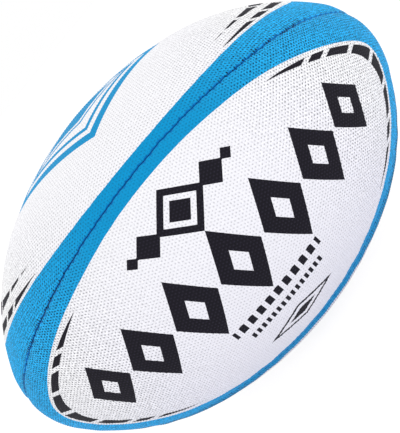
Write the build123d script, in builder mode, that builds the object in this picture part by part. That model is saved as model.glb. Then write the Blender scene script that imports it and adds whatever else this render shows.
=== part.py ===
"""A size 5 rugby ball, built the way it is sewn.

Each of the four panels is a pimpled rubber cover bonded to three cloth plies. The long edges of a
panel are turned in, and neighbouring panels are sewn through these flanges, so the seams show only
as a narrow groove. A rubber bladder with its own valve fills the casing.

The long axis of the ball is X and its centre is the origin. The panels face front (-Y),
bottom (-Z), back (+Y) and top (+Z), and the valve is in the middle of the back panel.
"""

import os
from math import cos, floor, pi, radians, sin, sqrt

from build123d import *

os.makedirs("parts", exist_ok=True)

# Form of the casing, in millimetres and degrees
ball_length = 298.0
ball_width = 187.6
tip_arc_radius = 51.6
centre_arc_turn = 20.2  # how far the surface has turned where the centre arc ends
shoulder_arc_turn = 54.0  # how far it has turned where the shoulder arc ends

# Panel laminate, from the outside in
cover_thickness = 1.0
ply_thickness = 0.5
glue_line = 0.1
ply_names = ("outer_ply", "middle_ply", "inner_ply")
panel_turns = {"front": 0, "bottom": 90, "back": 180, "top": 270}

# Seams
seam_gap = 0.1
fold_radius = 1.2
flange_depth = 7.5
tip_opening_radius = 2.0

# Stitching
stitch_pitch = 5.0
stitch_depth = 5.0
thread_radius = 0.45
crossing_radius = 0.35  # the thread is pulled thinner where it crosses the flanges
hole_clearance = 0.15
thread_clearance = 0.15
tip_inset = 11.0  # length of seam left unsewn at each tip
seam_names = {"front_top": 0, "front_bottom": 90, "back_bottom": 180, "back_top": 270}

# Bladder and patches
bladder_wall = 0.9
bladder_clearance = 0.3
valve_patch_radius = 22.0
valve_patch_thickness = 0.5
balance_patch_radius = 19.0
balance_patch_thickness = 0.5

# Valve
neck_radius = 5.5
neck_recess = 0.6
neck_length = 16.0
neck_clearance = 0.3
valve_flange_radius = 15.0
valve_flange_thickness = 1.2
core_radius = 3.2
core_head_radius = 4.2
core_head_thickness = 1.2
core_bulb_radius = 4.0
core_bulb_length = 2.5
core_bulb_taper = 20.0  # degrees
core_clearance = 0.05
needle_radius = 1.0
needle_clearance = 0.05
needle_bore_length = 12.0

# The centre and shoulder arcs have the radii that bring the tangent meridian to the tip
half_length = ball_length / 2
half_width = ball_width / 2
turn_1 = radians(centre_arc_turn)
turn_2 = radians(shoulder_arc_turn)
reach_x = half_length - tip_arc_radius * (1 - sin(turn_2))
reach_r = half_width - tip_arc_radius * cos(turn_2)
span_x = sin(turn_2) - sin(turn_1)
span_r = cos(turn_1) - cos(turn_2)
solver = sin(turn_1) * span_r - (1 - cos(turn_1)) * span_x
centre_arc_radius = (reach_x * span_r - reach_r * span_x) / solver
shoulder_arc_radius = (reach_r * sin(turn_1) - reach_x * (1 - cos(turn_1))) / solver

centre_of_centre_arc = (0.0, half_width - centre_arc_radius)
centre_of_shoulder_arc = (
    (centre_arc_radius - shoulder_arc_radius) * sin(turn_1),
    centre_of_centre_arc[1] + (centre_arc_radius - shoulder_arc_radius) * cos(turn_1),
)
centre_of_tip_arc = (half_length - tip_arc_radius, 0.0)

# Depths below the outer surface
ply_depths = [
    cover_thickness + glue_line + i * (ply_thickness + glue_line) for i in range(len(ply_names))
]
lining_depth = ply_depths[-1] + ply_thickness
valve_patch_depth = lining_depth + glue_line
bladder_depth = valve_patch_depth + valve_patch_thickness + bladder_clearance
bladder_inside_depth = bladder_depth + bladder_wall
balance_patch_depth = bladder_depth - glue_line - balance_patch_thickness
valve_flange_depth = bladder_inside_depth + glue_line

# Distances from a seam's middle plane
flange_reach = lining_depth + seam_gap / 2
rail_offset = flange_reach + thread_clearance + thread_radius
channel_half_width = rail_offset + thread_radius + bladder_clearance


def arc_for(turn):
    """Centre and radius of the meridian arc on which the surface has turned this far."""
    if turn <= turn_1:
        return centre_of_centre_arc, centre_arc_radius
    if turn <= turn_2:
        return centre_of_shoulder_arc, shoulder_arc_radius
    return centre_of_tip_arc, tip_arc_radius


def meridian_point(turn, depth):
    """Point at this depth where the surface has turned by this angle; negative angles are at -X."""
    (x, r), radius = arc_for(abs(turn))
    side = 1 if turn >= 0 else -1
    return side * (x + (radius - depth) * sin(abs(turn))), r + (radius - depth) * cos(turn)


def turn_at(distance, depth):
    """Angle by which the surface has turned at this distance along the meridian at this depth."""
    side = 1 if distance >= 0 else -1
    rest = abs(distance)
    start = 0.0
    for end, radius in ((turn_1, centre_arc_radius), (turn_2, shoulder_arc_radius)):
        length = (radius - depth) * (end - start)
        if rest <= length:
            return side * (start + rest / (radius - depth))
        rest -= length
        start = end
    return side * (start + rest / (tip_arc_radius - depth))


def half_meridian(depth):
    """Length of the meridian at this depth from the middle of the ball to a tip."""
    centre_run = (centre_arc_radius - depth) * turn_1
    shoulder_run = (shoulder_arc_radius - depth) * (turn_2 - turn_1)
    return centre_run + shoulder_run + (tip_arc_radius - depth) * (pi / 2 - turn_2)


def meridian(depth, end_turn=pi / 2):
    """Draw the meridian at this depth, arc by arc, from the -X side to the +X side."""
    stops = [-end_turn, -turn_2, -turn_1, turn_1, turn_2, end_turn]
    for start, end in zip(stops, stops[1:]):
        ThreePointArc(
            meridian_point(start, depth),
            meridian_point((start + end) / 2, depth),
            meridian_point(end, depth),
        )


def ball_form(depth):
    """Solid of revolution at this depth below the outer surface."""
    with BuildPart() as form:
        with BuildSketch(Plane.XY):
            with BuildLine():
                meridian(depth)
                Line(meridian_point(pi / 2, depth), meridian_point(-pi / 2, depth))
            make_face()
        revolve(axis=Axis.X)
    return form.part


def panel_form(depth):
    """Space inside the front panel at this depth, between its two turned-in edges."""
    apex = sqrt(2) * (depth + seam_gap / 2)
    with BuildPart() as form:
        add(ball_form(depth))
        with BuildSketch(Plane.YZ):
            Polygon(
                (-apex, 0),
                (-apex - ball_width, ball_width),
                (-apex - ball_width, -ball_width),
                align=None,
            )
        extrude(amount=half_length, both=True, mode=Mode.INTERSECT)
    return form.part



def across_valve(depth):
    """Plane across the valve's axis at this depth below the middle of the back panel."""
    return Plane(origin=(0, half_width - depth, 0), x_dir=(1, 0, 0), z_dir=(0, 1, 0))


def shell_disc(depth, thickness, radius, toward_back=True):
    """Round patch that follows the ball, centred on the back panel or on the front one."""
    with BuildPart() as disc:
        with BuildSketch(Plane.XZ):
            Circle(radius)
        extrude(amount=-half_width if toward_back else half_width)
        add(ball_form(depth), mode=Mode.INTERSECT)
        add(ball_form(depth + thickness), mode=Mode.SUBTRACT)
    return disc.part


# The seam between the front and top panels lies in this plane, with the ball's surface along +y
seam_plane = Plane(origin=(0, 0, 0), x_dir=(1, 0, 0), z_dir=(0, -1, -1))
sewn_length = 2 * (half_meridian(stitch_depth) - tip_inset)
stitch_count = floor(sewn_length / stitch_pitch) + 1
stitch_points = [
    meridian_point(turn_at((i - (stitch_count - 1) / 2) * stitch_pitch, stitch_depth), stitch_depth)
    for i in range(stitch_count)
]
sewn_turn = turn_at((stitch_count - 1) / 2 * stitch_pitch, stitch_depth)

with BuildPart() as stitch_holes:
    with BuildSketch(seam_plane):
        with Locations(*stitch_points):
            Circle(crossing_radius + hole_clearance)
    extrude(amount=rail_offset, both=True)

with BuildPart() as tip_opening:
    with BuildSketch(Plane.YZ):
        Circle(tip_opening_radius)
    extrude(amount=half_length, both=True)

with BuildPart() as neck_hole:
    with BuildSketch(across_valve(0)):
        Circle(neck_radius + neck_clearance)
    extrude(amount=-half_width)

# Panels: each layer is a tray whose two long sides reach down to the end of the flange
flange_end = ball_form(flange_depth)
layer_depths = {"grip_cover": 0.0}
layer_depths.update(zip(ply_names, ply_depths))
for layer_name, depth in layer_depths.items():
    thickness = ply_thickness if layer_name in ply_names else cover_thickness
    with BuildPart() as layer:
        add(panel_form(depth))
        add(tip_opening.part, mode=Mode.SUBTRACT)
        if depth < fold_radius:
            sides = layer.faces().filter_by(GeomType.PLANE)
            fillet(sides.edges().filter_by(GeomType.LINE, reverse=True), fold_radius - depth)
        add(panel_form(depth + thickness), mode=Mode.SUBTRACT)
        add(flange_end, mode=Mode.SUBTRACT)
        add(stitch_holes.part, mode=Mode.SUBTRACT)
        add(stitch_holes.part, rotation=(90, 0, 0), mode=Mode.SUBTRACT)

    for panel_name, turn in panel_turns.items():
        with BuildPart() as panel_layer:
            add(layer.part, rotation=(turn, 0, 0))
            if panel_name == "back":
                add(neck_hole.part, mode=Mode.SUBTRACT)
        panel_layer.part.label = f"{panel_name}_{layer_name}"
        export_step(panel_layer.part, f"parts/{panel_layer.part.label}.step")

# Thread: two rails run along the flanges, one on each side, and cross through every hole
with BuildPart() as thread:
    with BuildSketch(seam_plane):
        with Locations(*stitch_points):
            Circle(crossing_radius)
    extrude(amount=rail_offset, both=True)
    for side in (-rail_offset, rail_offset):
        with BuildLine(seam_plane.offset(side)) as rail:
            meridian(stitch_depth, sewn_turn)
        with BuildSketch(Plane(origin=rail.line @ 0, z_dir=rail.line % 0)):
            Circle(thread_radius)
        sweep(path=rail.line)

for seam_name, turn in seam_names.items():
    with BuildPart() as seam_thread:
        add(thread.part, rotation=(turn, 0, 0))
    seam_thread.part.label = f"{seam_name}_thread"
    export_step(seam_thread.part, f"parts/{seam_thread.part.label}.step")


def bladder_form(inset):
    """Bladder's outer form, drawn in by inset, with a channel over each seam for the flanges."""
    width = 2 * (channel_half_width + inset)
    with BuildPart() as channels:
        with BuildSketch(Plane.YZ):
            for angle in (45, 135):
                Rectangle(2 * ball_width, width, rotation=angle)
        extrude(amount=half_length, both=True)
        add(ball_form(flange_depth + bladder_clearance + inset), mode=Mode.SUBTRACT)
    with BuildPart() as form:
        add(ball_form(bladder_depth + inset))
        add(channels.part, mode=Mode.SUBTRACT)
    return form.part


with BuildPart() as bladder:
    add(bladder_form(0))
    add(bladder_form(bladder_wall), mode=Mode.SUBTRACT)
    add(neck_hole.part, mode=Mode.SUBTRACT)
bladder.part.label = "bladder"
export_step(bladder.part, "parts/bladder.step")

with BuildPart() as valve_patch:
    add(shell_disc(valve_patch_depth, valve_patch_thickness, valve_patch_radius))
    add(neck_hole.part, mode=Mode.SUBTRACT)
valve_patch.part.label = "valve_patch"
export_step(valve_patch.part, "parts/valve_patch.step")

with BuildPart() as balance_patch:
    add(shell_disc(balance_patch_depth, balance_patch_thickness, balance_patch_radius, False))
balance_patch.part.label = "balance_patch"
export_step(balance_patch.part, "parts/balance_patch.step")

with BuildPart() as valve_body:
    add(shell_disc(valve_flange_depth, valve_flange_thickness, valve_flange_radius))
    with BuildSketch(across_valve(neck_recess)):
        Circle(neck_radius)
    extrude(amount=-neck_length)
    with BuildSketch(across_valve(neck_recess)):
        Circle(core_radius + core_clearance)
    extrude(amount=-neck_length, mode=Mode.SUBTRACT)
    with BuildSketch(across_valve(neck_recess)):
        Circle(core_head_radius + core_clearance)
    extrude(amount=-core_head_thickness - core_clearance, mode=Mode.SUBTRACT)
valve_body.part.label = "valve_body"
export_step(valve_body.part, "parts/valve_body.step")

with BuildPart() as valve_core:
    with BuildSketch(across_valve(neck_recess)):
        Circle(core_head_radius)
    extrude(amount=-core_head_thickness)
    with BuildSketch(across_valve(neck_recess + core_head_thickness)):
        Circle(core_radius)
    extrude(amount=-(neck_length - core_head_thickness + core_clearance))
    with BuildSketch(across_valve(neck_recess + neck_length + core_clearance)):
        Circle(core_bulb_radius)
    extrude(amount=-core_bulb_length, taper=core_bulb_taper)
    with BuildSketch(across_valve(neck_recess)):
        Circle(needle_radius + needle_clearance)
    extrude(amount=-needle_bore_length, mode=Mode.SUBTRACT)
valve_core.part.label = "valve_core"
export_step(valve_core.part, "parts/valve_core.step")
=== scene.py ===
# %% [markdown]
# # A sewn four-panel rugby ball
#
# The ball is a bladder inside a casing of four panels. Each panel is a stack: a pimpled rubber cover
# on the outside and three plies of cloth glued behind it. The packed solids give every layer its
# place. What they can't give is the skin that a hand feels, so this lesson remakes the four covers
# as fine meshes with real pimples, prints them, and gives each hidden layer a finish of its own.

# %% Load the packed ball
import math
import bpy
import numpy as np
from mathutils import Matrix, Vector


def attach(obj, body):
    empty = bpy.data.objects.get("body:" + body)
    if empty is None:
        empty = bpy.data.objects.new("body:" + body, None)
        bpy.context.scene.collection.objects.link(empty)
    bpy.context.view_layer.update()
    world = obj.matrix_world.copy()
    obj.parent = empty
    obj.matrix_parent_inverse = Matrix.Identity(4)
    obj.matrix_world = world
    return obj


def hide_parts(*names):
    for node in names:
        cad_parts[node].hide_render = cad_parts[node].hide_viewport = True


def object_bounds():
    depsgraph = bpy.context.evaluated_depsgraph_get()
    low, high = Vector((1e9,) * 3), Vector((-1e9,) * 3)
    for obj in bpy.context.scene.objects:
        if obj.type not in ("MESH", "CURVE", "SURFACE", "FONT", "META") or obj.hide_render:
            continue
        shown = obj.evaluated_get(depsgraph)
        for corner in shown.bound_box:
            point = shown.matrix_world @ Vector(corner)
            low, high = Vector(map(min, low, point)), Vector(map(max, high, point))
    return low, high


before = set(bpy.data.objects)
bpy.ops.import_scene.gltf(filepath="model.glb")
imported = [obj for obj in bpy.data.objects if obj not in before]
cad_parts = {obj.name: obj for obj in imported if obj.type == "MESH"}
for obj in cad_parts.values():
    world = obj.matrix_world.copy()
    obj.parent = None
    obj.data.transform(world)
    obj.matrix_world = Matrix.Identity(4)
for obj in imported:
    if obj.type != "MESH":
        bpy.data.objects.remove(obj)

cad_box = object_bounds()
print("packed box, mm:", [round(1000 * (high - low), 2) for low, high in zip(*cad_box)])

# %% [markdown]
# ## The line that the ball is spun from
#
# Cut the ball lengthways and its outline is three smooth arcs on each side: a long flat one over the
# middle, a rounder one over the shoulder and a small one over the tip. One could trace it with a
# spline, but arcs say exactly how far along the skin each point lies, and a printer or a seamstress
# works in that distance. Two of the radii follow from the length and the width of the ball.

# %% Lengths of the casing, in millimetres
MM = 0.001
BALL_LENGTH, BALL_WIDTH = 298.0, 187.6
TIP_ARC_RADIUS = 51.6
ARC_TURNS = np.radians([0.0, 20.2, 54.0, 90.0])
COVER_THICKNESS, FLANGE_DEPTH = 1.0, 7.5
SEAM_GAP, FOLD_RADIUS, STITCH_PITCH = 0.1, 1.2, 5.0
PANEL_TURNS = {"front": 0, "bottom": 90, "back": 180, "top": 270}
HALF_PANEL = math.pi / 4  # each of the four panels covers a quarter turn


def solve_arcs():
    """The three radii, and where each arc starts, measured along the skin, the axis and outwards."""
    sines, cosines = np.sin(ARC_TURNS), np.cos(ARC_TURNS)
    steps = np.array([np.diff(sines), -np.diff(cosines)])
    wanted = np.array([BALL_LENGTH, BALL_WIDTH]) / 2 - steps[:, 2] * TIP_ARC_RADIUS
    radii = np.append(np.linalg.solve(steps[:, :2], wanted), TIP_ARC_RADIUS)
    along = np.append(0, np.cumsum(radii * np.diff(ARC_TURNS)))
    reach = np.append(0, np.cumsum(radii * steps[0]))
    girth = BALL_WIDTH / 2 - np.append(0, np.cumsum(radii * steps[1]))
    return radii, along, reach, girth


ARC_RADII, ARC_ALONG, ARC_REACH, ARC_GIRTH = solve_arcs()
print("arc radii:", ARC_RADII.round(1), " skin from middle to tip:", ARC_ALONG[-1].round(1))


# %% Any point of the line
def meridian(along):
    """Reach along the axis, distance from it, and turn of the skin, at a distance along the skin."""
    distance = np.minimum(np.abs(along), ARC_ALONG[-1])
    arc = np.searchsorted(ARC_ALONG[1:-1], distance)
    start = ARC_TURNS[arc]
    turn = start + (distance - ARC_ALONG[arc]) / ARC_RADII[arc]
    reach = ARC_REACH[arc] + ARC_RADII[arc] * (np.sin(turn) - np.sin(start))
    girth = ARC_GIRTH[arc] + ARC_RADII[arc] * (np.cos(turn) - np.cos(start))
    return np.sign(along) * reach, girth, np.sign(along) * turn


print("girth radius at 0, 100 and 180 mm:", meridian(np.array([0.0, 100.0, 180.0]))[1].round(1))

# %% [markdown]
# ## A grid that carries the pimples
#
# Grip rubber is moulded flat, with pimples in a triangular lattice, and then cut to shape, so the
# lattice doesn't follow the panel's edges. A displacement modifier would need far more faces than
# the pimples do. Here the mesh itself is the lattice: its rows run round the ball, every second
# point of every second row is the top of a pimple, and the rows are joined like a zip.

# %% The lattice
PIMPLE_PITCH, PIMPLE_HEIGHT = 1.85, 0.22
ROW_STEP = PIMPLE_PITCH * math.sqrt(3) / 4
COLUMN_STEP = PIMPLE_PITCH / 2
EDGE_COLUMN = 0.3  # a row's first and last point keep this share of a column from the fold
BARE_EDGE, PIMPLE_RISE = 0.4, 1.2  # the rubber beside a fold is bare, and then the pimples rise
TIP_GIRTH = 0.7  # the last row's distance from the axis
INNER_ROWS, INNER_COLUMNS = 3, 37  # every third row, with so many points from fold to fold
print("rows run every", round(ROW_STEP, 3), "mm, points every", round(COLUMN_STEP, 3), "mm")

# %% [markdown]
# ## Seams that a hand has sewn
#
# A seam drawn with a ruler looks like a crack in plastic. A real one strays by a few tenths of a
# millimetre, sinks between stitches, and gathers the rubber beside it into shallow waves. Noise
# would do that anyhow, but a handful of sine waves with seeded luck gives the same seam each time,
# and both panels that meet there can ask for it. Near the tips, where four panels fight for room,
# the seams are pulled aside by a few degrees.

# %% How a seam strays, sinks and gathers
# Seams 0 to 3 join front and top, top and back, back and bottom, bottom and front.
EDGES = {"front": (3, 0), "top": (0, 1), "back": (1, 2), "bottom": (2, 3)}
PULL_AT = (-190, -150, -130, -90, -60, -20, 30, 80, 100, 120, 150, 190)
PULL_DEGREES = (2.2, 2.1, 0.1, -1.5, -1.0, -0.6, 0.0, 0.1, 1.0, 2.1, 4.0, 4.2)
OTHER_SEAMS_PULL = 0.3  # the seams after the first are pulled less
WANDER_SEED, WANDER_WAVES, WANDER_HEIGHT, WANDER_LENGTH = 20, 5, (0.06, 0.16), (1.0, 4.5)
RIPPLE_SEED, RIPPLE_WAVES, RIPPLE_DEPTH, RIPPLE_LENGTH = 90, 4, 0.11, (7, 19)
PUCKER_SEED, PUCKER_LENGTHS = 60, (7.3, 3.1)
PUCKER_DEPTH, STITCH_PUCKER, SLOW_PUCKER = 0.10, 0.07, 0.06
ANY_PHASE = 6.3  # about a whole turn, in radians


def seam_wander(seam, along):
    """How far a seam strays sideways, mm: the hand that sewed it, and its pull near the tips."""
    luck = np.random.default_rng(WANDER_SEED + seam)
    waves = sum(luck.uniform(*WANDER_HEIGHT)
                * np.sin(along / luck.uniform(*WANDER_LENGTH) + luck.uniform(0, ANY_PHASE))
                for _ in range(WANDER_WAVES))
    pull = np.interp(along, PULL_AT, PULL_DEGREES) * (1.0 if seam == 0 else OTHER_SEAMS_PULL)
    return waves + np.radians(pull) * meridian(along)[1]


def seam_ripple(seam, along):
    """Shallow waves beside a seam, where the stitches gather the rubber, mm."""
    luck = np.random.default_rng(RIPPLE_SEED + seam)
    waves = [math.sin(along * math.tau / luck.uniform(*RIPPLE_LENGTH) + luck.uniform(0, ANY_PHASE))
             for _ in range(RIPPLE_WAVES)]
    return RIPPLE_DEPTH * sum(waves)


def seam_pucker(seam, along):
    """How far the fold sinks between stitches, mm."""
    luck = np.random.default_rng(PUCKER_SEED + seam)
    slow = math.prod(np.sin(along / length + luck.uniform(0, ANY_PHASE)) for length in PUCKER_LENGTHS)
    stitch = np.sin(math.tau * along / STITCH_PITCH)
    return PUCKER_DEPTH + STITCH_PUCKER * stitch + SLOW_PUCKER * slow


print("the front seam strays, mm, at -150, 0 and 150:",
      [round(float(seam_wander(0, place)), 2) for place in (-150.0, 0.0, 150.0)])

# %% [markdown]
# ## One row of a panel
#
# A row starts at the bottom of one turned-in flange, climbs it, goes round the fold, crosses the
# panel and goes down the other side. The panel sinks a little towards its seams, because the thread
# pulls them in while the air pushes the middle out. The fold and the flange always have the same
# number of points, so only the stretch between the folds needs the zip.

# %% The fold and the flange
FOLD_STEPS = np.radians([22.5, 45.0, 67.5, 90.0])
FLANGE_STEPS = np.array([0.25, 0.6, 1.0])
# The hem of a point is its distance along the skin from the foot of the fold, and 0 on the flange.
HEM_TURN = np.append(FOLD_RADIUS * (math.pi / 2 - np.append(0, FOLD_STEPS)), 0 * FLANGE_STEPS)
SEAM_SINK, SEAM_SINK_WIDTH = 0.45, 11.0  # how deep the panel drops at its fold, and from how far
FOLD_SHARE, INSET_SHARE, LEAST_FOLD = 0.3, 0.35, 0.15  # how small folds get where a panel is narrow
LEAST_GIRTH, LARGEST_SINE = 0.25, 0.7  # keep a flange on its own side of the axis
PUCKER_FADE, WANDER_FADE = 2.0, 3.2  # puckers fade over the first depth, and wander ends at the other


def edge_points(along, side, seam, thickness):
    """Depth and angle of a fold and its flange, from the surface inwards, for one side of a row."""
    _, girth, turn = meridian(along)
    half = girth * HALF_PANEL
    fold = min(FOLD_RADIUS, FOLD_SHARE * half)
    inset = min(thickness, INSET_SHARE * half)
    radius = max(fold - inset, LEAST_FOLD * fold)
    lateral = SEAM_GAP / 2 + inset + radius * (1 - np.sin(np.append(0, FOLD_STEPS)))
    depth = SEAM_SINK + thickness + radius * (1 - np.cos(np.append(0, FOLD_STEPS)))
    down = depth[-1] + (FLANGE_DEPTH - depth[-1]) * FLANGE_STEPS
    lateral = np.append(lateral, np.full(len(down), lateral[-1]))
    depth = np.append(depth, down)
    depth = depth + float(seam_pucker(seam, along)) * np.exp(-depth / PUCKER_FADE)
    local = np.maximum(girth - depth * math.cos(turn), LEAST_GIRTH)
    stray = float(seam_wander(seam, along)) * np.clip(1 - depth / WANDER_FADE, 0, 1)
    lean = np.arcsin(np.minimum(lateral / local, LARGEST_SINE))
    return depth, side * (HALF_PANEL - lean) + stray / local


def sink(gap_to_fold):
    """How much the panel drops towards its fold, mm."""
    return SEAM_SINK * np.clip(1 - gap_to_fold / SEAM_SINK_WIDTH, 0, 1) ** 2


depths, angles = edge_points(0.0, 1, 0, 0.0)
print("fold and flange in the middle, mm deep:", depths.round(2))

# %% The points between the folds
SETTLE_WIDTH, RIPPLE_WIDTH = 1.5, 7.0  # mm over which the panel meets its fold, and ripples fade


def outer_row(number, along, seams):
    """Both edges of one row of the outer face, and the depth, angle and hem of what lies between."""
    girth = float(meridian(along)[1])
    minus = edge_points(along, -1, seams[0], 0.0)
    plus = edge_points(along, 1, seams[1], 0.0)
    low, high = minus[1][0] * girth, plus[1][0] * girth
    shift = 0.5 * COLUMN_STEP * (number % 2)
    columns = np.arange(math.ceil(low / COLUMN_STEP), high / COLUMN_STEP)
    across = columns * COLUMN_STEP + shift
    margin = EDGE_COLUMN * COLUMN_STEP
    kept = (across > low + margin) & (across < high - margin)
    columns, across = columns[kept], across[kept]
    near = np.minimum(across - low, high - across)
    top = (number % 2 == 0) & ((columns + number / 2) % 2 == 0)
    relief = top * np.clip((near - BARE_EDGE) / PIMPLE_RISE, 0, 1)
    edge_depth = minus[0][0] + (plus[0][0] - minus[0][0]) * (across - low) / max(high - low, 1e-6)
    settle = (edge_depth - SEAM_SINK) * np.exp(-near / SETTLE_WIDTH)
    ripple = sum(seam_ripple(seam, along) * np.exp(-gap / RIPPLE_WIDTH) * (1 - np.exp(-gap / SETTLE_WIDTH))
                 for seam, gap in zip(seams, (across - low, high - across)))
    depth = sink(near) + settle + ripple - PIMPLE_HEIGHT * relief
    return {"minus": minus, "plus": plus, "depth": depth, "angle": across / girth,
            "hem": near + HEM_TURN[0]}


print("points between the folds in the middle:", len(outer_row(0, 0.0, EDGES["front"])["depth"]))

# %% [markdown]
# ## Zipping rows into one closed skin
#
# The cover is a closed sheet 1 mm thick, because a shell without thickness is no real rubber. Its
# outer face has the fine rows, its inner face a coarser grid, and strips close the flange rims and
# the tips. `zip_rows` joins two rows with different numbers of points by always taking the nearer
# next point, which makes even triangles wherever the lattice is even.

# %% Collecting points and faces
class Skin:
    """The points of one cover, each with its place on the panel, and the faces between them."""

    def __init__(self):
        self.along, self.depth, self.angle = [], [], []
        self.inside, self.lie, self.hem = [], [], []
        self.faces = []

    def add(self, along, depth, angle, inside=0.0, lie=0.0, hem=0.0):
        """Adds a row of points and returns their numbers."""
        first, count = len(self.along), len(depth)
        for store, value in ((self.along, along), (self.depth, depth), (self.angle, angle),
                             (self.inside, inside), (self.lie, lie), (self.hem, hem)):
            store.extend(np.broadcast_to(value, count).tolist())
        return list(range(first, first + count))

    def pair_rows(self, lower, upper, flip=False):
        """Joins two rows with as many points each."""
        for a, b, c, d in zip(lower, upper, upper[1:], lower[1:]):
            self.faces += [(c, b, a), (d, c, a)] if flip else [(a, b, c), (a, c, d)]

    def zip_rows(self, lower, upper, place, flip=False):
        """Joins any two rows, always going on to the nearer next point."""
        i = j = 0
        while i < len(lower) - 1 or j < len(upper) - 1:
            step_low = j == len(upper) - 1 or (
                i < len(lower) - 1 and place[lower[i + 1]] <= place[upper[j + 1]])
            if step_low:
                face = (lower[i], upper[j], lower[i + 1])
                i += 1
            else:
                face = (lower[i], upper[j], upper[j + 1])
                j += 1
            self.faces.append(face[::-1] if flip else face)


trial = Skin()
few, many = (trial.add(0.0, np.zeros(count), 0.0, lie=np.linspace(0, 1, count)) for count in (4, 6))
trial.zip_rows(few, many, trial.lie)
print("a row of 4 points zipped to a row of 6:", len(trial.faces), "triangles")


# %% Building the outer and inner face of a panel
def row_places():
    """Number and distance along the skin of each row, alike on both sides of the middle."""
    last_stretch = ARC_ALONG[-1] - np.arange(20, 0, -0.05)
    tip = float(np.interp(-TIP_GIRTH, -meridian(last_stretch)[1], last_stretch))
    whole = int(tip / ROW_STEP)
    return [(number, number * ROW_STEP) for number in range(-whole, whole + 1)]


def add_outer(skin, seams):
    """The outer face with its folds and flanges; returns its rows from rim to rim."""
    rows = []
    for number, along in row_places():
        row = outer_row(number, along, seams)
        girth = float(meridian(along)[1])
        (minus_depth, minus_angle), (plus_depth, plus_angle) = row["minus"], row["plus"]
        minus_lie = minus_angle[0] * girth - minus_depth
        plus_lie = plus_angle[0] * girth + plus_depth
        minus = skin.add(along, minus_depth[::-1], minus_angle[::-1],
                         lie=minus_lie[::-1], hem=HEM_TURN[::-1])
        middle = skin.add(along, row["depth"], row["angle"], lie=row["angle"] * girth, hem=row["hem"])
        plus = skin.add(along, plus_depth, plus_angle, lie=plus_lie, hem=HEM_TURN)
        rows.append((minus, [minus[-1]] + middle + [plus[0]], plus))
    for lower, upper in zip(rows, rows[1:]):
        skin.pair_rows(lower[0], upper[0])
        skin.pair_rows(lower[2], upper[2])
        skin.zip_rows(lower[1], upper[1], skin.lie)
    return [minus + middle[1:-1] + plus for minus, middle, plus in rows]


def add_inner(skin, seams):
    """The inner face, one cover thickness below and without pimples; returns its rows."""
    places = row_places()
    picked = places[::INNER_ROWS] + ([places[-1]] if (len(places) - 1) % INNER_ROWS else [])
    rows = []
    for _, along in picked:
        girth = float(meridian(along)[1])
        minus_depth, minus_angle = edge_points(along, -1, seams[0], COVER_THICKNESS)
        plus_depth, plus_angle = edge_points(along, 1, seams[1], COVER_THICKNESS)
        angle = np.linspace(minus_angle[0], plus_angle[0], INNER_COLUMNS)[1:-1]
        near = girth * np.minimum(angle - minus_angle[0], plus_angle[0] - angle)
        angles = np.concatenate([minus_angle[::-1], angle, plus_angle])
        depths = np.concatenate([minus_depth[::-1], COVER_THICKNESS + sink(near), plus_depth])
        lies = np.concatenate([minus_angle[0] * girth - minus_depth[::-1], angle * girth,
                               plus_angle[0] * girth + plus_depth])
        rows.append(skin.add(along, depths, angles, inside=1.0, lie=lies))
    for lower, upper in zip(rows, rows[1:]):
        skin.pair_rows(lower, upper, flip=True)
    return rows


print("rows on the outer face of a panel:", len(row_places()))

# %% Closing the rims and opening the valve hole
VALVE_HOLE, VALVE_HOLE_INSIDE = 5.8, 6.4  # radii of the hole in the back cover


def close_rims(skin, outer, inner):
    """Strips along both flange rims and across both tips; returns the first of their faces."""
    first = len(skin.faces)
    for side in (0, -1):
        rim_out = [row[side] for row in outer]
        rim_in = [row[side] for row in inner]
        skin.zip_rows(rim_out, rim_in, skin.along, flip=side == -1)
    skin.zip_rows(outer[0], inner[0], skin.lie, flip=True)
    skin.zip_rows(outer[-1], inner[-1], skin.lie)
    return first


def open_valve_hole(skin):
    """Drops the faces over the valve, pulls the ring left behind onto a circle and walls it."""
    along, inside = np.array(skin.along), np.array(skin.inside)
    across = np.array(skin.angle) * meridian(along)[1]
    away = np.hypot(along, across)
    faces = np.array(skin.faces)
    loops = []
    for face_side, radius in ((0.0, VALVE_HOLE), (1.0, VALVE_HOLE_INSIDE)):
        covered = (inside == face_side) & (away < radius)
        touched = covered[faces].any(axis=1)
        ring = np.setdiff1d(np.unique(faces[touched]), np.flatnonzero(covered))
        faces = faces[~touched]
        ring = ring[np.argsort(np.arctan2(across[ring], along[ring]))]
        for point in ring:
            scale = radius / away[point]
            place = along[point] * scale
            skin.angle[point] = across[point] * scale / float(meridian(place)[1])
            skin.along[point] = place
            skin.lie[point] = across[point] * scale
            skin.depth[point] = COVER_THICKNESS * face_side
        loops.append([int(point) for point in ring])
    skin.faces = [tuple(face) for face in faces.tolist()]
    bearing = {point: math.atan2(skin.lie[point], skin.along[point]) for loop in loops for point in loop}
    outer, inner = loops
    skin.zip_rows(outer, inner, bearing, flip=True)
    skin.faces += [(outer[0], inner[-1], outer[-1]), (outer[0], inner[0], inner[-1])]


print("valve hole, mm across, outside and inside:", 2 * VALVE_HOLE, 2 * VALVE_HOLE_INSIDE)

# %% [markdown]
# ## From the flat panel to the ball
#
# Every point so far is a distance along the skin, an angle round the axis and a depth. Turning that
# into a place in space is one formula, the same for all four panels, which only differ in where their
# middle faces. The mesh keeps those numbers as attributes, so that the print can be drawn in the same
# millimetres that the rubber is cut in. `OFBake` lays the outer and inner face side by side.

# %% Making the mesh
MAP_SPAN = 400.0  # millimetres of rubber that the width of the map shows
OUTER_LINE, INNER_LINE, RIM_LINE, RIM_STEP = 0.735, 0.235, 0.482, 0.006  # heights on the map


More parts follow.
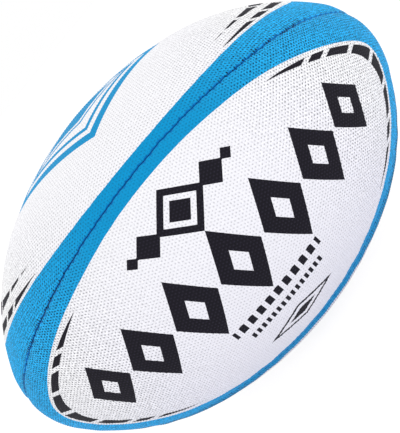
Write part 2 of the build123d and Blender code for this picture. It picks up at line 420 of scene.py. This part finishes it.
def place_points(skin, turn):
    """Points in space, in metres, from places on the panel."""
    along, depth, angle = (np.array(store) for store in (skin.along, skin.depth, skin.angle))
    reach, girth, lean = meridian(along)
    reach = reach - depth * np.sin(lean)
    girth = girth - depth * np.cos(lean)
    facing = math.pi + math.radians(turn) - angle
    return np.stack([reach, girth * np.cos(facing), girth * np.sin(facing)], axis=1) * MM


def lay_flat(mesh, skin, rim_start):
    """The OFBake map: outer face above, inner face below, rims in a strip between them."""
    scale = 1 / MAP_SPAN
    along, lie, inside = (np.array(store) for store in (skin.along, skin.lie, skin.inside))
    upwards = np.where(inside > 0.5, INNER_LINE, OUTER_LINE) + lie * scale
    corners = np.stack([0.5 + along * scale, upwards], axis=1)[np.array(skin.faces)].reshape(-1, 2)
    rims = np.arange(rim_start * 3, len(corners))
    corners[rims, 1] = RIM_LINE + RIM_STEP * (corners[rims, 1] > 0.5)
    layer = mesh.uv_layers.new(name="OFBake")
    layer.data.foreach_set("uv", corners.ravel())


def make_cover(name, turn, seams, hole=False):
    """One closed cover, with its places on the panel kept as attributes."""
    skin = Skin()
    outer = add_outer(skin, seams)
    inner = add_inner(skin, seams)
    rim_start = close_rims(skin, outer, inner)
    if hole:
        before = len(skin.faces)
        open_valve_hole(skin)
        rim_start -= before - len(skin.faces)
    mesh = bpy.data.meshes.new(name)
    mesh.from_pydata(place_points(skin, turn), [], skin.faces)
    for label, values in (("along", skin.along), ("across", skin.lie),
                          ("turn", np.degrees(skin.angle)), ("inside", skin.inside),
                          ("hem", skin.hem)):
        mesh.attributes.new(label, "FLOAT", "POINT").data.foreach_set(
            "value", np.array(values, dtype=np.float32))
    lay_flat(mesh, skin, rim_start)
    mesh.validate()
    mesh.shade_smooth()
    cover = bpy.data.objects.new(name, mesh)
    bpy.context.scene.collection.objects.link(cover)
    return cover


print("a map as wide as", MAP_SPAN, "mm of rubber holds a panel of", round(2 * ARC_ALONG[-1], 1), "mm")

# %% The four covers
covers = {}
for panel, turn in PANEL_TURNS.items():
    cover = make_cover(f"{panel}_pimpled_cover", turn, EDGES[panel], hole=panel == "back")
    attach(cover, "root")
    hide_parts(f"{panel}_grip_cover")
    covers[panel] = cover
    print(cover.name, len(cover.data.vertices), "points", len(cover.data.polygons), "faces")

# %% [markdown]
# ## Shader maths as plain expressions
#
# A print made of ovals, dashes and lozenges is arithmetic on two distances. Wiring that by hand takes
# hundreds of nodes that nobody can read. `Wire` stands for one socket, and an expression such as
# `1 - mask` adds the Math node that it needs, so that the recipe below reads like the drawing.

# %% A socket that can be calculated with
class Wire:
    """One output socket, with arithmetic. Masks are 0 or 1, and are joined with & and |."""

    def __init__(self, recipe, socket):
        self.recipe, self.socket = recipe, socket

    def maths(self, operation, *others):
        """A Math node on this wire and other wires or numbers."""
        values = dict(enumerate((self, *others)))
        return self.recipe.node("ShaderNodeMath", {"operation": operation}, values)

    def __add__(self, other):
        return self.maths("ADD", other)

    def __mul__(self, other):
        return self.maths("MULTIPLY", other)

    __radd__, __rmul__, __and__ = __add__, __mul__, __mul__

    def __sub__(self, other):
        return self.maths("SUBTRACT", other)

    def __rsub__(self, other):
        return self.recipe.number(other).maths("SUBTRACT", self)

    def __truediv__(self, other):
        return self.maths("DIVIDE", other)

    def __rtruediv__(self, other):
        return self.recipe.number(other).maths("DIVIDE", self)

    def __pow__(self, power):
        """A square is a product, which costs less than a power."""
        return self * self if power == 2 else self.maths("POWER", power)

    def __neg__(self):
        return self.maths("MULTIPLY", -1.0)

    def __abs__(self):
        return self.maths("ABSOLUTE")

    def __lt__(self, other):
        return self.maths("LESS_THAN", other)

    def __gt__(self, other):
        return self.maths("GREATER_THAN", other)

    def __or__(self, other):
        return self.maths("MAXIMUM", other)

    def least(self, other):
        return self.maths("MINIMUM", other)

    def sine(self):
        return self.maths("SINE")

    def bounce(self, span):
        """Goes up to the span and back to 0, over and over."""
        return self.maths("PINGPONG", span)

    def smooth(self, low, high):
        """0 below low, 1 above high and a soft rise between."""
        values = {"Value": self, "From Min": low, "From Max": high}
        return self.recipe.node("ShaderNodeMapRange", {"interpolation_type": "SMOOTHSTEP"}, values)

    def beside(self, output):
        """Another output of the same node."""
        return Wire(self.recipe, self.socket.node.outputs[output])


print("a wire can also be asked for:", [name for name in vars(Wire) if not name.startswith("_")])


# %% Nodes, and a material under construction
class Recipe:
    """Adds nodes to one empty node tree."""

    def __init__(self, tree):
        self.tree = tree
        tree.nodes.clear()

    def fill(self, socket, value):
        """Links a wire to a socket, or sets its value."""
        if isinstance(value, Wire):
            self.tree.links.new(value.socket, socket)
        else:
            socket.default_value = value

    def node(self, kind, settings=None, values=None, output=0):
        """Adds a node: first its settings, then the values or links of its sockets."""
        made = self.tree.nodes.new(kind)
        for key, value in (settings or {}).items():
            setattr(made, key, value)
        for key, value in (values or {}).items():
            self.fill(made.inputs[key], value)
        return Wire(self, made.outputs[output]) if made.outputs else None

    def number(self, value):
        """A wire that carries a plain number."""
        return self.node("ShaderNodeMath", {"operation": "ADD"}, {0: value, 1: 0.0})

    def attribute(self, name):
        """A number that the mesh keeps for each of its points."""
        return self.node("ShaderNodeAttribute", {"attribute_name": name}, output="Fac")

    def blend(self, mask, low, high):
        """One colour where the mask is 0, another where it is 1."""
        values = {0: mask, 6: low, 7: high}
        return self.node("ShaderNodeMix", {"data_type": "RGBA"}, values, output=2)

    def scale(self, colour, factor):
        """A colour made brighter or darker."""
        values = {0: colour, "Scale": factor}
        return self.node("ShaderNodeVectorMath", {"operation": "SCALE"}, values)

    def place(self):
        """Where a point is, in metres."""
        return self.node("ShaderNodeTexCoord", output="Object")

    def noise(self, scale, detail):
        values = {"Scale": scale, "Detail": detail, "Vector": self.place()}
        return self.node("ShaderNodeTexNoise", None, values)

    def bump(self, height, distance, strength):
        """The surface's direction, tilted by a height between 0 and 1 times the distance."""
        values = {"Strength": strength, "Distance": distance, "Height": height}
        return self.node("ShaderNodeBump", None, values)


class Finish(Recipe):
    """A material with one Principled shader, filled in by name."""

    def __init__(self, name):
        self.material = bpy.data.materials.new(name)
        self.material.use_nodes = True
        super().__init__(self.material.node_tree)
        self.shader = self.node("ShaderNodeBsdfPrincipled")
        self.node("ShaderNodeOutputMaterial", None, {"Surface": self.shader})

    def done(self, **sockets):
        """Fills the shader's sockets, each named with _ for a space, and returns the material."""
        for key, value in sockets.items():
            self.fill(self.shader.socket.node.inputs[key.replace("_", " ")], value)
        return self.material


print("a recipe adds:", [name for name in vars(Recipe) if not name.startswith("_")])

# %% [markdown]
# ## The drawing on a panel
#
# The printer lays a white field in the shape of a superellipse on a blue sheet, and a ring of black
# tapered dashes inside each of its ends. All of it is drawn in two numbers: millimetres along the
# skin, and degrees round the ball from the panel's middle. A superellipse is one line of arithmetic,
# and a dash is what lies inside one superellipse and outside the next, cut by slanted gaps.

# %% Ovals and dashes
# A superellipse is its half length in mm, its half width in degrees, and the powers of the two.
WHITE_FIELD = {"main": (147.1, 40.45, 2.252, 2.261), "side": (142.0, 40.9, 2.064, 2.598)}
# A row of dashes is its outer oval, its inner oval, and the degrees and mm of each gap's middle.
DASH_ROWS = {
    "main": [((145.0, 35.15, 3.483, 1.811), (133.2, 43.2, 1.277, 2.45),
              ((15.5, 129.3), (24.2, 112.5), (28.05, 100.4)))],
    "side": [((138.1, 36.8, 3.676, 1.772), (130.4, 41.7, 2.064, 2.056),
              ((8.0, 134.0), (21.9, 115.5), (27.2, 101.5))),
             ((126.0, 34.4, 2.641, 1.734), (117.0, 37.6, 2.2, 1.851),
              ((10.2, 115.7), (21.0, 97.5), (25.6, 83.5)))],
}
GAP_WIDTH, GAP_SLANT, DASH_START = 2.4, 0.2, 70.0
DEGREES = math.degrees(1)  # an arc over its radius, times this, is a turn in degrees


def oval(far, wide, shape):
    """Below 1 inside the superellipse."""
    length, width, end_power, side_power = shape
    return (far / length) ** end_power + (wide / width) ** side_power


def dashes(far, wide, girth, rows):
    """All dashes at both ends of a panel, with a gap on its middle line too."""
    half_gap = GAP_WIDTH / 2 * DEGREES
    ink = None
    for outside, inside, gaps in rows:
        row = (oval(far, wide, outside) < 1) & (oval(far, wide, inside) > 1) & (far > DASH_START)
        row = row & (wide * girth > half_gap)
        for turn, centre in gaps:
            off_line = abs(wide - turn - (far - centre) * GAP_SLANT)
            row = row & (off_line * girth > half_gap)
        ink = row if ink is None else ink | row
    return ink


print("rows of dashes at each end:", {kind: len(rows) for kind, rows in DASH_ROWS.items()})

# %% [markdown]
# ## Plain ornaments in the middle
#
# A ball's broad faces carry large figures. These are ornaments that any workshop may use: a row of
# lozenges with open centres, as on old harlequin shirts, a crest of nested lozenges, rules of short
# bars, and nested lozenges in blue on the two side panels. A lozenge is the sum of two distances,
# so each figure is a few comparisons, and stays sharp from however near one looks.

# %% Lozenges and bars, in millimetres
# The row of lozenges lies off the middle, but on the back it runs through the valve, which has a bare
# disc of the second radius.
VALVE_OFFSET, BARE_ROUND_VALVE = 5.0, 9.0


def lozenge(along, across, centre, half):
    """Below 1 inside the lozenge, 0 in its middle."""
    return abs(along - centre[0]) / half[0] + abs(across - centre[1]) / half[1]


def band(value, low, high):
    """1 between the two, 0 elsewhere."""
    return (value > low) & (value < high)


def bars(along, across, middle, half, pitch, share):
    """A rule of upright bars, each the given share of the pitch."""
    upright = along.bounce(pitch / 2) < pitch / 2 * share
    return upright & (abs(along) < half[0]) & (abs(across - middle) < half[1])


print("the row of lozenges lies", VALVE_OFFSET, "mm off the middle of its panel")

# %% Figures of the main panels, in black
ROW_PITCH, ROW_REACH, ROW_HALF_HEIGHT, ROW_GAP = 32.0, 112.0, 23.0, 1.2
ROW_TAPER, ROW_CENTRE = 190.0, 0.36  # lozenges shrink towards the ends, and their centres are open
CREST_MIDDLE, CREST_FRAME, CREST_HEART = 43.0, 0.70, 0.45
CREST_LOZENGES = ((0.0, (17.0, 15.0)), (23.0, (8.5, 7.5)), (34.5, (4.0, 3.5)))
CREST_RULE, CREST_RULE_HALF = (16.0, 36.0), 0.7
BAR_RULES = ((-22.0, (32.0, 2.6), 6.4, 0.6), (-31.0, (27.0, 1.9), 3.6, 0.55))
FLAT_CENTRE, FLAT_HALF, FLAT_FRAME, FLAT_HEART = (0.0, -47.0), (24.0, 6.5), 0.78, 0.42


def lozenge_row(along, across):
    """Lozenges with open centres, side by side."""
    swell = 1 - (along / ROW_TAPER) ** 2
    shape = (along.bounce(ROW_PITCH / 2) / (ROW_PITCH / 2 - ROW_GAP)
             + abs(across - VALVE_OFFSET) / (swell * ROW_HALF_HEIGHT))
    return (abs(along) < ROW_REACH) & band(shape, ROW_CENTRE, 1.0)


def crest(along, across):
    """A large lozenge round another, smaller ones on both sides, and a rule through those."""
    large, small, point = (lozenge(abs(along), across, (centre, CREST_MIDDLE), half)
                           for centre, half in CREST_LOZENGES)
    rule = (abs(across - CREST_MIDDLE) < CREST_RULE_HALF) & band(abs(along), *CREST_RULE)
    return band(large, CREST_FRAME, 1.0) | (large < CREST_HEART) | (small < 1) | (point < 1) | rule


def main_ornaments(along, across, valve):
    """All black figures of a main panel; where the valve is, they make room for it."""
    if valve:
        across = across + VALVE_OFFSET
    ink = lozenge_row(along, across) | crest(along, across)
    for rule in BAR_RULES:
        ink = ink | bars(along, across, *rule)
    flat = lozenge(along, across, FLAT_CENTRE, FLAT_HALF)
    ink = ink | band(flat, FLAT_FRAME, 1.0) | (flat < FLAT_HEART)
    if valve:
        from_valve = along * along + (across - VALVE_OFFSET) ** 2
        ink = ink & (from_valve > BARE_ROUND_VALVE ** 2)
    return ink


print("lozenges in the row:", int(2 * ROW_REACH / ROW_PITCH))

# %% Figures of the side panels, in blue
SIDE_LARGE, SIDE_LARGE_BANDS = (63.0, 39.0), ((0.84, 1.0), (0.64, 0.73))
SIDE_SMALL, SIDE_SMALL_BAND, SIDE_SMALL_HEART = (44.0, 17.0), (0.80, 0.92), 0.66


def side_ornaments(along, across):
    """Two rings round a lozenge with a ring of its own."""
    large, small = (lozenge(along, across, (0.0, 0.0), half) for half in (SIDE_LARGE, SIDE_SMALL))
    rings = band(large, *SIDE_LARGE_BANDS[0]) | band(large, *SIDE_LARGE_BANDS[1])
    return rings | (small < SIDE_SMALL_HEART) | band(small, *SIDE_SMALL_BAND)


print("the large blue lozenge is", 2 * SIDE_LARGE[0], "by", 2 * SIDE_LARGE[1], "mm")

# %% [markdown]
# ## Printed grip rubber
#
# The cover is matt rubber with tiny round pimples. The mesh gives the pimples their height. The
# material sharpens them into round studs and paints shade into a pit beside each, on the side away
# from the window. Towards the ends of the ball, where the skin is seen at a slant, the blue is painted
# paler as a painted sheen, and the painted shade in the pits is darker. A dark line of painted shade
# lies in each seam's groove and swings to and fro with the stitches. A scanned texture would bring
# all of that at once, but arithmetic stays sharp and lets each piece of it be changed alone.

# %% Where the print lies on a panel
PRINT_SLIP = {"main": 0.85, "side": 1.4}  # how far the print lies off along the ball, mm
LEFT_DRIFT, LEFT_DRIFT_AT = 4.3, (46.0, 125.0)
RIGHT_DRIFT_AT, MIDDLE_DRIFT = (40.0, 85.0), 0.9
END_FADE = (25.0, 115.0)  # over this stretch the skin turns away from whoever looks at its middle
HAIR = 0.001  # keeps a panel's middle line from being divided by nothing


class Sheet:
    """The wires that a panel's print is drawn in, in millimetres and degrees."""

    def __init__(self, finish, kind):
        labels = ("along", "across", "turn", "inside", "hem")
        self.along, self.across, turn, self.inside, self.hem = map(finish.attribute, labels)
        self.girth = abs(self.across) / (abs(turn) + HAIR) * DEGREES
        self.far = abs(self.along - PRINT_SLIP[kind])
        self.end = self.far.smooth(*END_FADE)
        drift = self.drift() / self.girth * DEGREES if kind == "main" else 0.0
        self.wide = abs(turn - drift)

    def drift(self):
        """How far the print lies off sideways: a sheet is never cut quite where it was printed."""
        left = (-self.along).smooth(*LEFT_DRIFT_AT) * LEFT_DRIFT
        return left + self.along.smooth(*RIGHT_DRIFT_AT) - MIDDLE_DRIFT


print("the print lies off along the ball, mm:", PRINT_SLIP)

# %% Inks
WHITE_RUBBER, END_WHITE, WHITE_FADE = (0.90, 0.90, 0.915, 1), (0.90, 0.905, 0.89, 1), (70.0, 120.0)
# The paler blue at the ends is a painted sheen, where the skin is seen at a slant.
BLUE_INK, BLUE_PAINTED_SHEEN, BLUE_SHEEN_FADE = (0.001, 0.296, 0.600, 1), (0.016, 0.402, 0.780, 1), (20.0, 112.0)
BLACK_INK, CLOTH_SIDE = (0.009, 0.008, 0.013, 1), (0.55, 0.53, 0.47, 1)
# The seam colour is a dark line of painted shade in each seam's groove.
SEAM_PAINTED_SHADE, SEAM_SHADE_COVER = (0.0, 0.13, 0.44, 1), 0.82
# How far the seam's line swings and swells with each stitch, spreads at the ends, and its edge, mm.
LINE_SWING, LINE_SWELL, LINE_SPREAD, LINE_EDGE = 0.48, 0.12, 0.15, (0.6, 1.8)


def seam_shade_line(sheet):
    """Painted shade along a seam: 1 in the bottom of its groove, 0 beside it."""
    stitch = (sheet.along * (math.tau / STITCH_PITCH)).sine()
    side = (sheet.across > 0) * 2 - 1
    edge = sheet.hem - sheet.end * LINE_SPREAD - stitch * (side * LINE_SWING + LINE_SWELL)
    return 1 - edge.smooth(*LINE_EDGE)


def panel_colours(finish, sheet, kind, valve):
    """The colour of a panel, and its white and its black areas."""
    white = oval(sheet.far, sheet.wide, WHITE_FIELD[kind]) < 1
    black = dashes(sheet.far, sheet.wide, sheet.girth, DASH_ROWS[kind])
    # A painted sheen makes the blue paler towards the ends.
    blue = finish.blend(sheet.far.smooth(*BLUE_SHEEN_FADE), BLUE_INK, BLUE_PAINTED_SHEEN)
    rubber = finish.blend(sheet.far.smooth(*WHITE_FADE), WHITE_RUBBER, END_WHITE)
    tint = finish.blend(white, blue, rubber)
    if kind == "main":
        black = black | main_ornaments(sheet.along, sheet.across, valve)
    else:
        tint = finish.blend(side_ornaments(sheet.along, sheet.across), tint, blue)
    tint = finish.blend(black, tint, BLACK_INK)
    # The seam's groove gets its painted shade.
    tint = finish.blend(seam_shade_line(sheet) * SEAM_SHADE_COVER, tint, SEAM_PAINTED_SHADE)
    return finish.blend(sheet.inside > 0.5, tint, CLOTH_SIDE), white, black


# The seam colour listed here is painted shade.
print("inks:", {"blue": BLUE_INK[:3], "black": BLACK_INK[:3], "seam": SEAM_PAINTED_SHADE[:3]})

# %% Pimples and pits
GRAIN, CLOUD, SPECK = (900.0, 3.0), (28.0, 3.0), (1100.0, 0.0)  # noises: scale per metre, and detail
PATCH, PEBBLE = (330.0, 1.0), (480.0, 1.0)
STUD_EDGE, PIT_EDGE = (0.2, 0.66), (0.15, 0.62)  # mm from the middle, where a stud or a pit ends
# Pits lie off the pimples, mm, on the side away from the window, and are darkened as painted shade: below
# the pimples on the front panel, and behind them on the top one.
PIT_STEP, PIT_JITTER = {"main": -0.42, "side": 0.42}, (1.2, 0.9)
PIT_SHADE = {"main": (0.26, 0.58), "side": (0.38, 0.60)}  # in the middle, and added at the ends
BLUE_PIT_SHADE, BLUE_PITS_AT, PIT_SHADE_PATCHES = (0.8, 0.72), (15.0, 60.0), (0.0, 0.50)
MOTTLE, MOTTLE_ON_WHITE, MOTTLE_EDGE = (0.08, 0.50), 0.5, (0.3, 0.7)
BLACK_TOP_HIGHLIGHT = 1.2  # painted highlight: the tops of black pimples are painted a little paler
GRAIN_TONE, CLOUD_TONE = (0.97, 0.06), (0.98, 0.03)  # the least tone, and what the noise adds to it
ROUGH, GRAIN_ROUGH, INK_GLOSS, GROUND_ROUGH = 0.56, 0.12, 0.06, 0.06
STUD_RELIEF, GRAIN_RELIEF, PIT_RELIEF, BUMP_STRENGTH = 0.18 * MM, 0.12, 0.4, 0.9


def stud_distance(along, across):
    """Distance to the middle of the nearest pimple, mm."""
    row, column = 2 * ROW_STEP, COLUMN_STEP
    x, y = along.bounce(row), across.bounce(column)
    other_x, other_y = row - x, column - y
    nearest = (x * x + y * y).least(other_x * other_x + other_y * other_y)
    return nearest ** 0.5


def print_finish(name, kind, valve=False):
    """The finish of one kind of panel."""
    finish = Finish(name)
    sheet = Sheet(finish, kind)
    tint, white, black = panel_colours(finish, sheet, kind, valve)
    grain, cloud, speck, patch, pebble = (
        finish.noise(*pair) for pair in (GRAIN, CLOUD, SPECK, PATCH, PEBBLE))
    dome = 1 - stud_distance(sheet.along, sheet.across).smooth(*STUD_EDGE)
    pit_along = sheet.along + (patch - 0.5) * PIT_JITTER[0]
    pit_across = sheet.across + (pebble - 0.5) * PIT_JITTER[1] - PIT_STEP[kind]
    pit = 1 - stud_distance(pit_along, pit_across).smooth(*PIT_EDGE)
    shaded = PIT_SHADE[kind][0] + sheet.end * PIT_SHADE[kind][1]
    on_blue = BLUE_PIT_SHADE[0] + sheet.far.smooth(*BLUE_PITS_AT) * BLUE_PIT_SHADE[1]
    # How dark the painted shade in each pit is, more towards the ends where the skin is seen at a slant.
    deep = patch.smooth(*PIT_SHADE_PATCHES) * shaded * (white + (1 - white) * on_blue)
    # Painted light and shade: random light and dark patches, stronger at the ends where the skin is seen at
    # a slant, stand in for how uneven pimples catch the light.
    painted_mottle = (speck.smooth(*MOTTLE_EDGE) - 0.5) * (MOTTLE[0] + sheet.end * MOTTLE[1])
    painted_mottle = painted_mottle * (1 - white * MOTTLE_ON_WHITE)
    # The tops of black pimples are lightened with a painted highlight.
    shade = 1 - pit * deep + painted_mottle + black * dome * BLACK_TOP_HIGHLIGHT
    shade = shade * (GRAIN_TONE[0] + grain * GRAIN_TONE[1]) * (CLOUD_TONE[0] + cloud * CLOUD_TONE[1])
    rough = ROUGH + grain * GRAIN_ROUGH - black * INK_GLOSS + (1 - dome) * GROUND_ROUGH
    relief = finish.bump(dome + grain * GRAIN_RELIEF - pit * PIT_RELIEF, STUD_RELIEF, BUMP_STRENGTH)
    return finish.done(Base_Color=finish.scale(tint, shade), Roughness=rough, Normal=relief,
                       Specular_IOR_Level=0.10, Sheen_Weight=0.06, Sheen_Roughness=0.4)


side_print = print_finish("side_print", "side")
prints = {"front": print_finish("main_print", "main"), "top": side_print, "bottom": side_print,
          "back": print_finish("main_print_with_valve", "main", valve=True)}
for panel, cover in covers.items():
    cover.data.materials.append(prints[panel])
print("printed:", [cover.name for cover in covers.values()])

# %% [markdown]
# ## The layers behind the skin
#
# The plies are woven cotton stiffened with rubber glue, the threads are waxed and twisted, and the
# bladder is moulded rubber with a cloth patch under the valve and a plain patch opposite, which
# balances it. They are seen only in a cut or an exploded view, but a part that is taken apart should
# still look like what it is. Their threads and grain are drawn from the place of each point.

# %% Woven cloth
SEAM_GLUE, GLUE_EDGE = (0.008, 0.03, 0.06, 1), (3.0, 5.5)  # dark glue beside the seams, and its reach
STAIN, STAINS, STAIN_EDGE = (0.62, 0.52, 0.34, 1), (45.0, 3.0), (0.45, 0.75)
YARN_ROUND, FUZZ, YARN_RELIEF = 0.6, (1400.0, 2.0), 0.15 * MM


def cylinder_places(finish):
    """Millimetres along the axis, round the ball at its widest, and along Y and Z."""
    split = finish.node("ShaderNodeSeparateXYZ", None, {0: finish.place()})
    y, z = split.beside(1), split.beside(2)
    around = z.maths("ARCTAN2", y) * (BALL_WIDTH / 2)
    return split * (1 / MM), around, y * (1 / MM), z * (1 / MM)


def woven(name, yarn, colour, gap_shade_colour, glue, glued_seams=False):
    """Plain weave with yarns every `yarn` mm, stained by a share of glue."""
    finish = Finish(name)
    along, around, y, z = cylinder_places(finish)
    warp, weft = ((place * (math.tau / yarn)).sine() for place in (along, around))
    over = (along * (math.pi / yarn)).sine() * (around * (math.pi / yarn)).sine() > 0
    # Painted shade: each yarn is darker towards its sides, and the gaps between yarns take the darker gap
    # colour.
    lift = over * (1 - warp * warp * YARN_ROUND) + (1 - over) * (1 - weft * weft * YARN_ROUND)
    fuzz, stain = finish.noise(*FUZZ), finish.noise(*STAINS)
    yarn_tint = finish.blend(lift * 0.8 + fuzz * 0.2, gap_shade_colour, colour)
    tint = finish.blend(stain.smooth(*STAIN_EDGE) * glue, yarn_tint, STAIN)
    if glued_seams:
        quarter, girth = BALL_WIDTH * math.pi / 4, (y * y + z * z) ** 0.5
        from_seam = (around + quarter / 2).bounce(quarter / 2) * girth / (BALL_WIDTH / 2)
        tint = finish.blend(from_seam.smooth(*GLUE_EDGE), SEAM_GLUE, tint)
    return finish.done(Base_Color=tint, Roughness=0.86 - stain * 0.2,
                       Normal=finish.bump(lift + fuzz * 0.3, YARN_RELIEF, strength=0.8))


cloths = {
    "outer_ply": woven("outer_ply_cloth", 0.75, (0.74, 0.72, 0.66, 1), (0.42, 0.39, 0.33, 1), 0.35,
                       glued_seams=True),
    "middle_ply": woven("middle_ply_cloth", 0.95, (0.70, 0.67, 0.58, 1), (0.38, 0.34, 0.27, 1), 0.6),
    "inner_ply": woven("inner_ply_cloth", 0.75, (0.66, 0.66, 0.64, 1), (0.36, 0.36, 0.35, 1), 0.25),
    "valve_patch": woven("patch_cloth", 0.6, (0.16, 0.16, 0.17, 1), (0.05, 0.05, 0.055, 1), 0.0),
}
print("cloths:", list(cloths))

# %% Moulded rubber and waxed thread
TWIST_PITCH, TWIST_SLANT, TWIST_FUZZ = 0.9, 0.7, (2200.0, 3.0)
DUST_CLOUDS, DUST_EDGE = (35.0, 3.0), (0.42, 0.72)


def moulded(name, colour, dusty, rough, grain_scale=600.0):
    """Smooth moulded rubber under a little chalk dust."""
    finish = Finish(name)
    grain, cloud = finish.noise(grain_scale, 4.0), finish.noise(*DUST_CLOUDS)
    dust = (cloud * 0.7 + grain * 0.3).smooth(*DUST_EDGE)
    return finish.done(Base_Color=finish.blend(dust, colour, dusty),
                       Roughness=rough + dust * 0.15 + grain * 0.08,
                       Normal=finish.bump(grain, distance=0.06 * MM, strength=0.7))


def twisted(name, colour, groove):
    """Strands that wind round the thread."""
    finish = Finish(name)
    along, _, y, z = cylinder_places(finish)
    strand = ((along + (y + z) * TWIST_SLANT) * (math.tau / TWIST_PITCH)).sine()
    fuzz = finish.noise(*TWIST_FUZZ)
    relief = finish.bump(strand.smooth(-1.0, 0.6) + fuzz * 0.2, distance=0.1 * MM, strength=0.9)
    # Painted shade: the grooves between the strands take the darker groove colour.
    return finish.done(Base_Color=finish.blend(strand.smooth(-0.9, 0.2), groove, colour),
                       Roughness=0.42 + fuzz * 0.2, Normal=relief)


rubbers = {
    "bladder": moulded("bladder_rubber", (0.035, 0.034, 0.036, 1), (0.075, 0.073, 0.072, 1), 0.42),
    "balance_patch": moulded("patch_rubber", (0.06, 0.055, 0.05, 1), (0.12, 0.11, 0.1, 1), 0.6),
    "valve_body": moulded("valve_rubber", (0.045, 0.045, 0.048, 1), (0.09, 0.09, 0.09, 1), 0.5),
    "valve_core": moulded("core_rubber", (0.02, 0.02, 0.022, 1), (0.06, 0.06, 0.062, 1), 0.36, 900.0),
}
thread = twisted("waxed_thread", (0.80, 0.77, 0.68, 1), (0.40, 0.36, 0.28, 1))
print("rubbers:", list(rubbers), "and", thread.name)

# %% One finish for each hidden layer
layer_finishes = {**cloths, **rubbers, "thread": thread}
finished = 0
for name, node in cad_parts.items():
    for ending, material in layer_finishes.items():
        if name.endswith(ending):
            node.data.materials.clear()
            node.data.materials.append(material)
            finished += 1
print("finished solids:", finished)

# %% [markdown]
# ## Floor, lamps and camera
#
# The ball lies on a pale floor under a window, with one large soft lamp to the left, one to the
# right and one behind that lights the upper rim. The floor and the sky are white to the camera and
# to reflections, while what lights the ball is dimmer, so nothing on it is washed out. The camera is
# close, so the near side of the ball looms, and it is rolled by half a right angle and a little more,
# so that the ball lies aslant in the frame.

# %% Pale floor
FLOOR_GLOW, FLOOR_PAINT, FLOOR_SPECK = 0.86, 0.24, 1.03
FLOOR_BOUNCE = (0.80, 0.79, 0.89, 1)  # what the floor throws back at the ball
FLOOR_HALF, FLOOR_GAP = 4.0, 0.0002
FLOOR_CORNERS = ((-1, -1), (1, -1), (1, 1), (-1, 1))


def grey(level):
    return (level, level, level, 1)


def seen_directly(recipe):
    """1 for what the camera sees, also in a mirror or through glass, and 0 for light on the ball."""
    camera_ray = recipe.node("ShaderNodeLightPath", output="Is Camera Ray")
    return camera_ray | camera_ray.beside("Is Glossy Ray") | camera_ray.beside("Is Transmission Ray")


floor_finish = Finish("pale_floor")
seen = seen_directly(floor_finish)
paint = floor_finish.blend(floor_finish.noise(60.0, 3.0), grey(FLOOR_PAINT), grey(FLOOR_PAINT * FLOOR_SPECK))
floor_finish.done(Base_Color=floor_finish.blend(seen, FLOOR_BOUNCE, paint), Roughness=0.9,
                  Emission_Color=floor_finish.blend(seen, grey(0), grey(FLOOR_GLOW)),
                  Emission_Strength=1.0, Specular_IOR_Level=0.1)
floor_mesh = bpy.data.meshes.new("pale_floor")
floor_height = cad_box[0].z - FLOOR_GAP
floor_mesh.from_pydata([(x * FLOOR_HALF, y * FLOOR_HALF, floor_height) for x, y in FLOOR_CORNERS],
                       [], [(0, 1, 2, 3)])
floor_mesh.materials.append(floor_finish.material)
floor = bpy.data.objects.new("pale_floor", floor_mesh)
bpy.context.scene.collection.objects.link(floor)
print("floor lies at", round(floor_height / MM, 1), "mm")

# %% White sky
SKY_LIGHT, SKY_TINT = 0.86, (0.99, 0.985, 1.0)
world = bpy.data.worlds.new("daylight")
bpy.context.scene.world = world
world.use_nodes = True
sky = Recipe(world.node_tree)
daylight = tuple(SKY_LIGHT * share for share in SKY_TINT) + (1,)
colour = sky.blend(seen_directly(sky), daylight, grey(1))
background = sky.node("ShaderNodeBackground", None, {"Color": colour, "Strength": 1.0})
sky.node("ShaderNodeOutputWorld", None, {"Surface": background})
print("sky gives", SKY_LIGHT, "of white as light")

# %% Lamps
# Each lamp has its place, its width, its watts and its tint.
LAMPS = {
    "window": ((0.1, -0.55, 1.25), 0.8, 1.3, (1, 1, 1)),
    "left softbox": ((-1.1, -0.8, 0.45), 1.0, 2.6, (0.98, 0.98, 1.0)),
    "back softbox": ((-0.35, 1.2, 0.95), 1.0, 4.0, (0.98, 0.98, 1.0)),
    "right softbox": ((1.1, -0.8, 0.45), 1.0, 4.0, (0.98, 0.98, 1.0)),
}
for name, (place, width, watts, tint) in LAMPS.items():
    data = bpy.data.lights.new(name, "AREA")
    data.shape, data.size, data.energy, data.color = "DISK", width, watts, tint
    lamp = bpy.data.objects.new(name, data)
    lamp.location = place
    lamp.rotation_euler = (-Vector(place)).to_track_quat("-Z", "Y").to_euler()
    bpy.context.scene.collection.objects.link(lamp)
print("lamps:", list(LAMPS))

# %% Camera
EYE_DISTANCE = 0.40975
EYE_TURN, EYE_HEIGHT, EYE_ROLL = np.radians([1.87256, 20.8403, 50.33]).tolist()
SENSOR, LENS, SHIFT = 36.0, 56.35, (0.00346, 0.00254)
back = Vector((math.sin(EYE_TURN) * math.cos(EYE_HEIGHT), -math.cos(EYE_TURN) * math.cos(EYE_HEIGHT),
               math.sin(EYE_HEIGHT)))
sideways = (Vector((1, 0, 0)) - back * back.x).normalized()
upright = back.cross(sideways)
right = math.cos(EYE_ROLL) * sideways - math.sin(EYE_ROLL) * upright
up = math.sin(EYE_ROLL) * sideways + math.cos(EYE_ROLL) * upright
data = bpy.data.cameras.new("camera")
data.sensor_width, data.lens = SENSOR, LENS
data.shift_x, data.shift_y = SHIFT
camera = bpy.data.objects.new("camera", data)
camera.matrix_world = Matrix((right, up, back)).transposed().to_4x4()
camera.location = EYE_DISTANCE * back
bpy.context.scene.collection.objects.link(camera)
bpy.context.scene.camera = camera
bpy.context.scene.view_settings.view_transform = "Standard"
print("the eye is", EYE_DISTANCE, "m from the middle of the ball")
